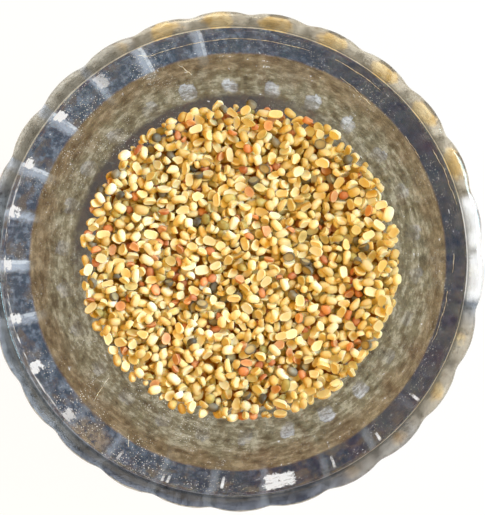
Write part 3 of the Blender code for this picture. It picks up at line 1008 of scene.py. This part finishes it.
def grain_outline(draw, squareness, chips, unevenness):
    """Points round a grain of unit size. A squareness of 2 is an oval, and more is an oblong."""
    turns = np.arange(GRAIN_SIDES) * 2.0 * math.pi / GRAIN_SIDES
    out = np.abs(np.cos(turns)) ** squareness + np.abs(np.sin(turns)) ** squareness
    out = out ** (-1.0 / squareness)
    for order in (1, 2, 3, 5):
        share = unevenness / order * math.cos(order)
        out = out * (1.0 + share * np.cos(order * turns + draw.uniform(0.0, 6.3)))
    for _ in range(draw.integers(0, chips + 1)):
        facing = np.cos(turns - draw.uniform(0.0, 6.3))
        cut = draw.uniform(*CHIP_DEPTHS)
        out = np.where(facing > 0.2, np.minimum(out, cut / np.maximum(facing, 0.2)), out)
    return np.stack([out * np.cos(turns), out * np.sin(turns)], axis=1)


def grain_shape(draw, squareness, chips, unevenness, fullness):
    """One grain of unit size, cut face down at z = 0: its points, and each one's three masks."""
    outline = grain_outline(draw, squareness, chips, unevenness)
    lean = draw.normal(0.0, CROWN_LEAN, 2)
    rings = []

    def add_ring(flat, heights, *masks):
        rings.append(np.column_stack([flat, heights, np.tile(masks, (len(flat), 1))]))

    add_ring([[0.0, 0.0]], [CUT_MIDDLE], 1.0, 0.0, 0.5)
    for share, height, edge in CUT_RINGS:
        add_ring(outline * share, np.full(GRAIN_SIDES, height), 1.0, edge, 0.5)
    for number, (share, height) in enumerate(DOME_RINGS):
        lowest = 1.0 if number == 0 else 0.0
        bump = 1.0 + draw.normal(0.0, SURFACE_BUMPS, GRAIN_SIDES)
        add_ring(outline * share**fullness + lean * height, height * bump, 0.35 * lowest, lowest, height)
    add_ring([lean], [1.0], 0.0, 0.0, 1.0)
    table = np.concatenate(rings)
    return table[:, :3], table[:, 3:]


def grain_faces():
    """Triangles of one grain, facing out: a fan, rings of quads cut in two, and a fan."""
    rings = len(CUT_RINGS) + len(DOME_RINGS)
    last = 1 + rings * GRAIN_SIDES
    faces = []
    for side in range(GRAIN_SIDES):
        across = (side + 1) % GRAIN_SIDES
        faces.append((0, 1 + across, 1 + side))
        for ring in range(rings - 1):
            here, above = 1 + ring * GRAIN_SIDES, 1 + (ring + 1) * GRAIN_SIDES
            faces.append((here + side, here + across, above + across))
            faces.append((here + side, above + across, above + side))
        top = 1 + (rings - 1) * GRAIN_SIDES
        faces.append((top + side, top + across, last))
    return np.array(faces)


GRAIN_FACES = grain_faces()
print("triangles a grain", len(GRAIN_FACES))

# %% [markdown]
# ## Seven kinds of grain
# Mung halves are oblong, red lentil halves are round and thin with chipped edges, and urad halves are long
# and full. Each kind gets several different grains, drawn from a fixed seed, so that every run gives the same
# ones.

# %% Kinds of grain
SHAPES_PER_KIND = 14
# name: share of the heap, length, width and height in mm, then squareness, chips, unevenness and fullness
KINDS = {
    "yellow_splits": (0.38, (3.8, 5.0), (2.6, 3.3), (1.5, 2.0), 3.0, 2, 0.06, 0.85),
    "golden_splits": (0.18, (3.7, 4.8), (2.5, 3.3), (1.5, 2.0), 2.8, 2, 0.06, 0.85),
    "pale_splits": (0.16, (3.9, 5.2), (2.6, 3.4), (1.6, 2.1), 3.2, 1, 0.05, 0.8),
    "red_splits": (0.125, (3.2, 4.3), (2.5, 3.4), (1.2, 1.7), 2.3, 3, 0.07, 0.9),
    "olive_splits": (0.05, (3.8, 4.7), (2.8, 3.4), (1.5, 2.0), 2.4, 1, 0.05, 0.85),
    "dark_halves": (0.035, (3.6, 4.5), (2.9, 3.5), (1.7, 2.2), 2.2, 0, 0.04, 0.85),
    "broken_bits": (0.10, (1.8, 3.2), (1.3, 2.2), (1.1, 1.7), 2.0, 3, 0.12, 0.9),
}
draw = np.random.default_rng(11)
shapes = {}
for kind, (_, _, _, _, *form) in KINDS.items():
    shapes[kind] = [grain_shape(draw, *form) for _ in range(SHAPES_PER_KIND)]
print("shapes", sum(len(forms) for forms in shapes.values()))

# %% [markdown]
# ## Dropping the grains
# A rigid body simulation of two thousand grains would be slow and would not repeat exactly. A height map does
# nearly as well: it is a fine grid that holds the level of whatever lies highest. A grain is taken as half an
# ellipsoid. It tries a few places, lies down along the slope that it finds there, sinks until it touches, and
# keeps the lowest place. Then its own top is drawn into the map for the grains that follow.

# %% Height map
LENTIL_LEVEL = 26.0 * MM
HEAP_SWELL = 0.9 * MM
CELL = 0.25 * MM
MAP_HALF = 60.0 * MM
LAYER_DEPTH = 5.2 * MM  # depth of loose grains over the core
HEAP_WAVE = 0.35 * MM  # the poured heap's slow ups and downs
STEEPEST = 0.05  # cosine of the steepest cut face, so that nothing is divided by zero
map_side = int(round(2.0 * MAP_HALF / CELL)) + 1
map_line = (np.arange(map_side) - map_side // 2) * CELL
map_x, map_y = np.meshgrid(map_line, map_line, indexing="ij")
map_radius = np.hypot(map_x, map_y)


def heap_height(x, y):
    """The level that the heap fills to: the model's own curve."""
    from_middle = np.hypot(x, y) / inner_radius(LENTIL_LEVEL)
    slow = HEAP_WAVE * (np.sin(140.0 * x + 1.3) + np.sin(170.0 * y + 60.0 * x))
    return LENTIL_LEVEL + HEAP_SWELL * (1.0 - from_middle**2) + slow


wall_heights = np.linspace(FLOOR_HEIGHT, SHOULDER, 400)
wall_height_map = np.interp(map_radius, inner_radius(wall_heights), wall_heights)
level_map = heap_height(map_x, map_y)
top_map = np.maximum(level_map - LAYER_DEPTH, wall_height_map)
print("map", top_map.shape)


def half_lens_span(turn, half, x, y):
    """Where upright lines enter and leave a half ellipsoid, whose cut face passes through the origin."""
    form = turn @ np.diag(1.0 / half**2) @ turn.T
    across = form[0, 0] * x * x + 2.0 * form[0, 1] * x * y + form[1, 1] * y * y - 1.0
    lean = form[0, 2] * x + form[1, 2] * y
    room = lean * lean - form[2, 2] * across
    root = np.sqrt(np.maximum(room, 0.0))
    low = (-lean - root) / form[2, 2]
    high = (-lean + root) / form[2, 2]
    facing = math.copysign(max(abs(turn[2, 2]), STEEPEST), turn[2, 2])
    face = -(turn[0, 2] * x + turn[1, 2] * y) / facing
    if facing > 0.0:
        low = np.maximum(low, face)
    else:
        high = np.minimum(high, face)
    return low, high, (room > 0.0) & (high > low)


def cell_at(distance):
    return int(round(distance / CELL)) + map_side // 2


def window(x, y, reach):
    """The part of the map under a grain: slices, and each cell's place relative to the grain."""
    i, j, n = cell_at(x), cell_at(y), int(math.ceil(reach / CELL))
    rows, columns = slice(max(i - n, 0), i + n + 1), slice(max(j - n, 0), j + n + 1)
    return rows, columns, map_x[rows, columns] - x, map_y[rows, columns] - y


def turned(normal, spin):
    """A rotation whose z axis is the normal, turned round it by the spin."""
    z = normal / np.linalg.norm(normal)
    side = np.cross([0.0, 1.0, 0.0] if abs(z[1]) < 0.9 else [1.0, 0.0, 0.0], z)
    side /= np.linalg.norm(side)
    ahead = np.cross(z, side)
    x = side * math.cos(spin) + ahead * math.sin(spin)
    return np.column_stack([x, np.cross(z, x), z])


# %% [markdown]
# ## Grains against the glass
# Seen through the wall and from below, the first grains lie against the glass. They are set one by one on the
# bowl's inside, dome or cut face outwards, no closer to each other than a grain's width, and each reaches a
# hair into the glass, so that it is seen through glass alone. Their tops are drawn into the map as well.

# %% Lining grains
LINING_SPACING = 3.15 * MM
GLASS_REACH = 0.12 * MM
LINING_TRIES = 9000
LINING_START = 0.3 * MM  # over the floor
LINING_END = 0.6 * MM  # under the heap's level
LINING_TILT = 0.12
FLIP_CHANCE = 0.5  # that a grain lies with its dome the other way round
grains = {kind: [] for kind in KINDS}
kind_names = list(KINDS)
kind_shares = np.array([KINDS[kind][0] for kind in kind_names])
kind_shares = kind_shares / kind_shares.sum()


def draw_grain(draw):
    """Picks a kind, a shape and a size. Half is the size of the half ellipsoid that stands for the grain."""
    kind = kind_names[draw.choice(len(kind_names), p=kind_shares)]
    _, lengths, widths, thicknesses, *_ = KINDS[kind]
    size = np.array([draw.uniform(*lengths), draw.uniform(*widths), draw.uniform(*thicknesses)]) * MM
    half = np.array([size[0] / 2, size[1] / 2, size[2]])
    return kind, int(draw.integers(SHAPES_PER_KIND)), half


def draw_into_map(place, turn, half):
    rows, columns, x, y = window(place[0], place[1], half.max())
    _, high, inside = half_lens_span(turn, half, x, y)
    under = top_map[rows, columns]
    top_map[rows, columns] = np.where(inside, np.maximum(under, place[2] + high), under)


def keep_grain(kind, shape, half, place, turn):
    grains[kind].append((shape, half, np.array(place), turn))


def wall_normal(z):
    """The inner wall's normal, which points into the bowl, as its radial and upright parts."""
    step = 0.2 * MM
    slope = (inner_radius(z + step) - inner_radius(z)) / step
    length = math.hypot(1.0, slope)
    return -1.0 / length, slope / length


draw = np.random.default_rng(23)
feet = np.empty((LINING_TRIES, 3))
lined = 0
wall_line = np.linspace(FLOOR_HEIGHT + LINING_START, LENTIL_LEVEL - LINING_END, 60)
wall_reach = inner_radius(wall_line)
wall_steps = np.hypot(np.diff(wall_reach), np.diff(wall_line))
area_so_far = np.append(0.0, np.cumsum(wall_steps * (wall_reach[1:] + wall_reach[:-1]) * math.pi))
floor_area = math.pi * FLOOR_RADIUS**2
for _ in range(LINING_TRIES):
    pick = draw.uniform(0.0, floor_area + area_so_far[-1])
    spin = draw.uniform(0.0, 2.0 * math.pi)
    if pick < floor_area:
        radius, z = math.sqrt(pick / math.pi), FLOOR_HEIGHT
        radial, upright = 0.0, 1.0
    else:
        z = float(np.interp(pick - floor_area, area_so_far, wall_line))
        radius = float(inner_radius(z))
        radial, upright = wall_normal(z)
    outward = np.array([math.cos(spin), math.sin(spin), 0.0])
    foot = outward * radius + np.array([0.0, 0.0, z])
    if lined > 0 and np.linalg.norm(feet[:lined] - foot, axis=1).min() < LINING_SPACING:
        continue
    feet[lined] = foot
    lined += 1
    normal = outward * radial + np.array([0.0, 0.0, upright])
    kind, shape, half = draw_grain(draw)
    tilt = normal + draw.normal(0.0, LINING_TILT, 3)
    flip = -1.0 if draw.random() < FLIP_CHANCE else 1.0
    turn = turned(tilt * flip, draw.uniform(0.0, 2.0 * math.pi))
    down = -normal @ turn
    reach_out = math.sqrt(np.sum((down * half * np.array([1.0, 1.0, 1.0 if down[2] > 0.0 else 0.0])) ** 2))
    place = foot + normal * (reach_out - GLASS_REACH)
    keep_grain(kind, shape, half, place, turn)
    draw_into_map(place, turn, half)
print("lining grains", lined)

# %% [markdown]
# ## The top layers
# These are the grains that the photograph shows. Seven in ten lie flat, dome up or cut face up, and the rest
# lean or stand on edge between their neighbours, as they do after pouring.

# %% Top grains
PLACES_TRIED = 28
PLACES_WEIGHED = 5
EDGE_SHARE = 0.30  # of the grains that stand on edge
TOP_TILT = 0.16
SLOPE_STEP = 1.4 * MM
SINK = 0.02  # share of a grain's outline that may sink into what it touches
FILL_REACH = float(inner_radius(LENTIL_LEVEL)) - 0.6 * MM
GRAINS_LIMIT = 2600
FULL_GAP = 0.2 * MM  # the heap is full when its grains are this close to the level on average


def slope_at(x, y):
    """How steeply the map rises along x and y, over a step to both sides."""
    i, j, n = cell_at(x), cell_at(y), int(round(SLOPE_STEP / CELL))
    rise_x = top_map[i + n, j - 2:j + 3].mean() - top_map[i - n, j - 2:j + 3].mean()
    rise_y = top_map[i - 2:i + 3, j + n].mean() - top_map[i - 2:i + 3, j - n].mean()
    return rise_x / (2.0 * n * CELL), rise_y / (2.0 * n * CELL)


def rest_height(x, y, turn, half):
    """The height at which a grain comes to rest, and how far its top then stands over the level."""
    rows, columns, dx, dy = window(x, y, half.max())
    low, high, inside = half_lens_span(turn, half, dx, dy)
    gaps = (top_map[rows, columns] - low)[inside]
    sunk = max(int(len(gaps) * SINK), 1)
    z = np.partition(gaps, -sunk)[-sunk]
    proud = float((z + high - level_map[rows, columns])[inside].mean())
    return float(z), proud


draw = np.random.default_rng(5)
dropped = 0
inside_heap = map_radius < FILL_REACH


def mean_gap():
    """How far the grains stand above the level that they fill to, on average."""
    return float((top_map - level_map)[inside_heap].mean())


while dropped < GRAINS_LIMIT:
    kind, shape, half = draw_grain(draw)
    tries = draw.uniform(-FILL_REACH, FILL_REACH, (PLACES_TRIED, 2))
    tries = tries[np.hypot(tries[:, 0], tries[:, 1]) < FILL_REACH]
    cells = np.rint(tries / CELL).astype(int) + map_side // 2
    depth = top_map[cells[:, 0], cells[:, 1]] - level_map[cells[:, 0], cells[:, 1]]
    best = None
    on_edge = draw.random() < EDGE_SHARE
    for x, y in tries[np.argsort(depth)[:PLACES_WEIGHED]]:
        slope_x, slope_y = slope_at(x, y)
        normal = np.array([-slope_x, -slope_y, 1.0])
        normal = normal / np.linalg.norm(normal) + draw.normal(0.0, TOP_TILT, 3)
        if on_edge:
            lie = draw.uniform(0.0, 2.0 * math.pi)
            normal = np.array([math.cos(lie), math.sin(lie), draw.uniform(-0.5, 0.5)])
        if draw.random() < FLIP_CHANCE:
            normal = -normal
        spin = 0.0 if on_edge else draw.uniform(0.0, 2.0 * math.pi)
        turn = turned(normal, spin)
        z, proud = rest_height(x, y, turn, half)
        if best is None or proud < best[0]:
            best = (proud, (x, y, z), turn)
    keep_grain(kind, shape, half, best[1], best[2])
    draw_into_map(best[1], best[2], half)
    dropped += 1
    if dropped % 50 == 0 and mean_gap() > -FULL_GAP:
        break
print("top grains", dropped, "mean level", round(mean_gap() / MM, 2), "mm")

# %% [markdown]
# ## One mesh for each kind
# Each grain's shape is scaled, turned and moved, and all grains of a kind are joined in one mesh. Every point
# also carries its grain's own tone, a random number that the material turns into a slightly different
# colour, so that no two grains look alike.

# %% Join the grains
CRISP_ANGLE = math.radians(42.0)  # edges sharper than this stay crisp, such as those of a cut face


def joined_grains(kind, draw):
    """All grains of a kind as one piece."""
    points, faces, masks, tones = [], [], [], []
    for number, (shape, half, place, turn) in enumerate(grains[kind]):
        local, local_masks = shapes[kind][shape]
        points.append((local * half) @ turn.T + place)
        faces.append(GRAIN_FACES + number * len(local))
        masks.append(local_masks)
        tones.append(np.full(len(local), draw.random()))
    mesh = mesh_from(kind, np.concatenate(points), np.concatenate(faces).tolist())
    for name, values in zip(("cut_face", "cut_edge", "crown"), np.concatenate(masks).T):
        point_mask(mesh, name, values)
    point_mask(mesh, "tone", np.concatenate(tones))
    mesh.shade_smooth()
    mesh.set_sharp_from_angle(angle=CRISP_ANGLE)
    piece = add_object(kind, mesh)
    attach(piece, "root")
    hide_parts("lentils")
    return piece


draw = np.random.default_rng(31)
heap = {kind: joined_grains(kind, draw) for kind in KINDS}
print("triangles", {kind: len(piece.data.polygons) for kind, piece in heap.items()})

# %% [markdown]
# ## The core
# Under the loose grains lies one closed body, so that the heap is never hollow. It has rounded lumps of a
# grain's size, and in the gaps between the grains it shows as painted shade, in the deep orange-brown that
# light takes on after bouncing from grain to grain. On the sides its lumps reach just into the glass.

# %% Core mesh
CORE_STEPS = 330
CORE_TOP_RINGS = 40
CORE_SIDE_RINGS = 44
CORE_FLOOR_RINGS = 24
CORE_CROWDING = 1.3
LUMP_SIZE = 3.4 * MM
LUMP_HEIGHT = 1.1 * MM
CORE_RISE = 0.6 * MM  # how far its top stands over the lower end of the loose layer
CORE_REACH = 0.6  # how far it reaches into the glass, as a share of the grains' reach


def core_profile():
    """Radius, height and outward direction of each ring, from the top's middle to the floor's middle."""
    top = LENTIL_LEVEL - LAYER_DEPTH + CORE_RISE
    edge = float(inner_radius(top))
    rows = [(edge * step / CORE_TOP_RINGS, top, 0.0, 1.0) for step in range(1, CORE_TOP_RINGS)]
    for step in range(CORE_SIDE_RINGS + 1):
        z = FLOOR_HEIGHT + (1.0 - step / CORE_SIDE_RINGS) ** CORE_CROWDING * (top - FLOOR_HEIGHT)
        radial, upright = wall_normal(max(z, FLOOR_HEIGHT + LINING_START))
        rows.append((float(inner_radius(z)), z, -radial, -upright))
    for step in range(1, CORE_FLOOR_RINGS):
        rows.append((FLOOR_RADIUS * (1.0 - step / CORE_FLOOR_RINGS), FLOOR_HEIGHT, 0.0, -1.0))
    return rows


def lump(point):
    """Height of the rounded lumps at a point: 0 in the gaps, about 1 on top of a lump."""
    near = noise.voronoi(Vector(point) / LUMP_SIZE)[0]
    return min((near[1] - near[0]) * 1.6, 1.0)


core_points = []
for radius, z, radial, upright in core_profile():
    for step in range(CORE_STEPS):
        angle = 2.0 * math.pi * step / CORE_STEPS
        outward = Vector((math.cos(angle), math.sin(angle), 0.0))
        point = outward * radius + Vector((0.0, 0.0, z))
        normal = outward * radial + Vector((0.0, 0.0, upright))
        sunk = LUMP_HEIGHT * (1.0 - lump(point)) - GLASS_REACH * CORE_REACH
        core_points.append(tuple(point - normal * sunk))
core_rings = len(core_points) // CORE_STEPS
core_points += [(0.0, 0.0, LENTIL_LEVEL - LAYER_DEPTH), (0.0, 0.0, FLOOR_HEIGHT)]
core_mesh = mesh_from("heap_core", core_points, turned_faces(core_rings, CORE_STEPS))
core_mesh.shade_smooth()
heap_core = add_object("heap_core", core_mesh)
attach(heap_core, "root")
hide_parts("lentils")
print("core faces", len(core_mesh.polygons))

# %% [markdown]
# ## The colour of split grains
# On a real half the dome is waxy. It is painted saturated at its foot and paler on its crown, as painted shade
# and light that a translucent grain would show. The cut face is floury and pale, and its edge is paler still.
# One node group holds that rule for every kind. It takes four colours and the grain's masks, and gives back a
# colour, a roughness and a height.

# %% Grain colour group
BLOTCHES = 420.0  # in a metre
PORES = 2600.0  # in a metre
coat, coat_in, coat_out = new_group("split_grain", [
    ("Dome", "NodeSocketColor", shade(222, 176, 88)), ("Dome Other", "NodeSocketColor", shade(240, 210, 140)),
    ("Cut", "NodeSocketColor", shade(240, 214, 160)), ("Edge", "NodeSocketColor", shade(250, 232, 190)),
    ("Tone", "NodeSocketFloat", 0.5), ("Crown", "NodeSocketFloat", 0.5), ("Cut Face", "NodeSocketFloat", 0.0),
    ("Cut Edge", "NodeSocketFloat", 0.0), ("Mottle", "NodeSocketFloat", 0.3),
], [("Color", "NodeSocketColor"), ("Roughness", "NodeSocketFloat"), ("Height", "NodeSocketFloat")])
coat_place = object_place(coat)
blotches = noise_at(coat, coat_place, BLOTCHES, 3.0)
pores = noise_at(coat, coat_place, PORES, 2.0)
# painted shade and light: the dome is darker at its foot and paler on its crown; the tone varies at random
painted_crown_light = calc(coat, "MULTIPLY_ADD", coat_in["Crown"], 0.8, -0.25)
tone_and_crown_light = calc(coat, "MULTIPLY_ADD", coat_in["Tone"], 0.7, painted_crown_light)
dome_color = blend(coat, tone_and_crown_light, coat_in["Dome"], coat_in["Dome Other"])
face_color = blend(coat, coat_in["Cut Edge"], coat_in["Cut"], coat_in["Edge"])
sided = blend(coat, coat_in["Cut Face"], dome_color, face_color)
blotch_share = calc(coat, "SUBTRACT", blotches, 0.38)
blotch_share = calc(coat, "MULTIPLY", blotch_share, calc(coat, "MULTIPLY", coat_in["Mottle"], 2.0))
patched = blend(coat, blotch_share, sided, coat_in["Dome"])
brightness = calc(coat, "MULTIPLY_ADD", coat_in["Tone"], 0.30, 0.84)
toned = add_node(coat, "ShaderNodeHueSaturation", Color=patched, Value=brightness).outputs["Color"]
roughness = calc(coat, "MULTIPLY_ADD", coat_in["Cut Face"], 0.22, 0.40)
grain_relief = calc(coat, "MULTIPLY_ADD", blotches, 0.6, calc(coat, "MULTIPLY", pores, 0.4))
set_sockets(coat, coat_out, Color=toned, Roughness=roughness, Height=grain_relief)
print("coat nodes", len(coat.nodes))

# %% [markdown]
# ## A coat for each kind
# Split mung is yellow to cream, red lentils are salmon, and the few halves that keep their skins are olive or
# nearly black under a grey bloom. A little light passes under the surface of the pale kinds, as it does in
# anything starchy, so they have subsurface scattering. The dark halves have none.

# %% Grain materials
# name: dome, other dome, cut face, edge of the cut, mottle, share of light that passes under the surface
COATS = {
    "yellow_splits": ((214, 184, 108), (234, 228, 201), (228, 215, 175), (238, 232, 205), 0.3, 0.25),
    "golden_splits": ((206, 166, 78), (229, 215, 170), (222, 204, 153), (234, 221, 185), 0.5, 0.25),
    "pale_splits": ((231, 217, 176), (239, 239, 230), (236, 232, 208), (241, 240, 224), 0.2, 0.25),
    "red_splits": ((176, 98, 66), (220, 160, 122), (212, 160, 124), (226, 188, 152), 0.7, 0.2),
    "olive_splits": ((136, 124, 72), (190, 176, 116), (212, 196, 144), (230, 218, 172), 0.8, 0.15),
    "dark_halves": ((66, 64, 64), (146, 143, 138), (184, 170, 134), (120, 112, 102), 0.6, 0.0),
    "broken_bits": ((206, 173, 104), (232, 219, 178), (225, 211, 172), (235, 227, 200), 0.5, 0.2),
}
GLOW_DEPTH = 0.6 * MM  # how far light passes under the surface


def grain_material(name, dome, dome_other, cut, edge, mottle, glow):
    """A kind's material: its colours and its grains' masks, through the group."""
    material, tree, shader = new_material(name)
    made = place_group(
        tree, coat, Dome=shade(*dome), Dome_Other=shade(*dome_other), Cut=shade(*cut), Edge=shade(*edge),
        Mottle=mottle, Tone=point_value(tree, "tone"), Crown=point_value(tree, "crown"),
        Cut_Face=point_value(tree, "cut_face"), Cut_Edge=point_value(tree, "cut_edge"),
    )
    relief = add_node(tree, "ShaderNodeBump", Strength=0.35, Distance=0.00012, Height=made["Height"])
    set_sockets(
        tree, shader, Base_Color=made["Color"], Roughness=made["Roughness"], Normal=relief.outputs["Normal"],
        Specular_IOR_Level=0.3, Subsurface_Weight=glow, Subsurface_Radius=(1.0, 0.6, 0.25),
        Subsurface_Scale=GLOW_DEPTH,
    )
    return material


for kind, piece in heap.items():
    piece.data.materials.append(grain_material(kind, *COATS[kind]))
print("coats", len(COATS))

# %% [markdown]
# ## The core's colour
# Only slivers of the core show, deep between the grains. There the light would have bounced off many grains
# and lost its blue, so the core is painted shade in a saturated orange-brown, with the paler lumps of lower
# grains.

# %% Core material
core_material, core_tree, core_shader = new_material("heap_shade")
core_noise = noise_at(core_tree, object_place(core_tree), 300.0, 3.0)
# painted shade: the orange-brown of light bounced between grains
core_painted_shade = ramp(core_tree, core_noise, [(0.30, 160, 88, 22), (0.50, 206, 138, 48), (0.70, 228, 178, 90)])
core_bump = add_node(core_tree, "ShaderNodeBump", Strength=0.5, Distance=0.0004, Height=core_noise)
core_normal = core_bump.outputs["Normal"]
set_sockets(core_tree, core_shader, Base_Color=core_painted_shade, Roughness=0.7, Normal=core_normal)
core_mesh.materials.append(core_material)
print("core material", core_material.name)
